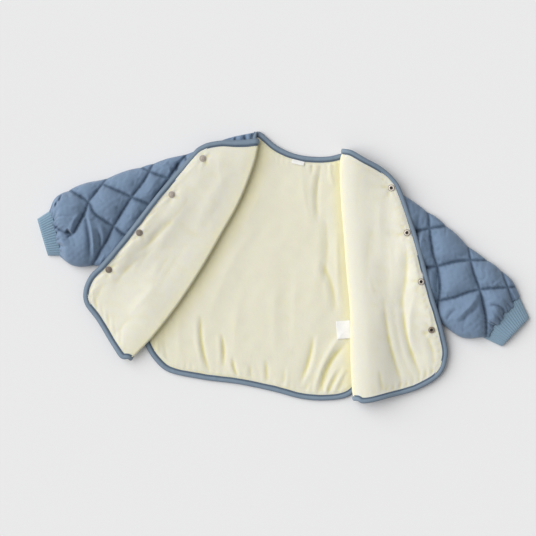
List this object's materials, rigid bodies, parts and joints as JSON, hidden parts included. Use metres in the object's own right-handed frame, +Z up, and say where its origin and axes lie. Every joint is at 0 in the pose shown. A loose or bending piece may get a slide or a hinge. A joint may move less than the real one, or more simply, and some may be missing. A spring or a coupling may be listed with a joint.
{
  "type": "quilted jacket",
  "caption": "Small child's quilted padded jacket with smooth lining, bound edges, snaps and rib cuffs, laid open with both fronts folded outward.",
  "frame": {"origin": "centre of the laid garment's box, on the surface that the back lies on", "axes": "+X along the spread sleeves from the right cuff to the left cuff, +Y towards the neck, +Z up"},
  "size_m": [0.737, 0.4063, 0.0289],
  "materials": {
    "lining": "cream brushed cotton lining",
    "quilted_shell": "dusty blue quilted woven shell over wadding",
    "rib_knit": "lighter blue rib knit",
    "binding": "grey blue bias binding",
    "nickel": "pale satin metal",
    "bronze": "dark antique metal",
    "label": "white woven tape"
  },
  "bodies": {
    "root": {"back": "lining", "right_front": "lining", "left_front": "lining", "right_sleeve": "quilted_shell", "left_sleeve": "quilted_shell", "right_cuff": "rib_knit", "left_cuff": "rib_knit", "back_neck_binding": "binding", "back_hem_binding": "binding", "right_front_binding": "binding", "left_front_binding": "binding", "stud_1": "nickel", "stud_2": "nickel", "stud_3": "bronze", "stud_4": "bronze", "socket_1": "nickel", "socket_2": "nickel", "socket_3": "nickel", "socket_4": "bronze", "side_label": "label", "neck_label": "label"}
  },
  "joints": []
}
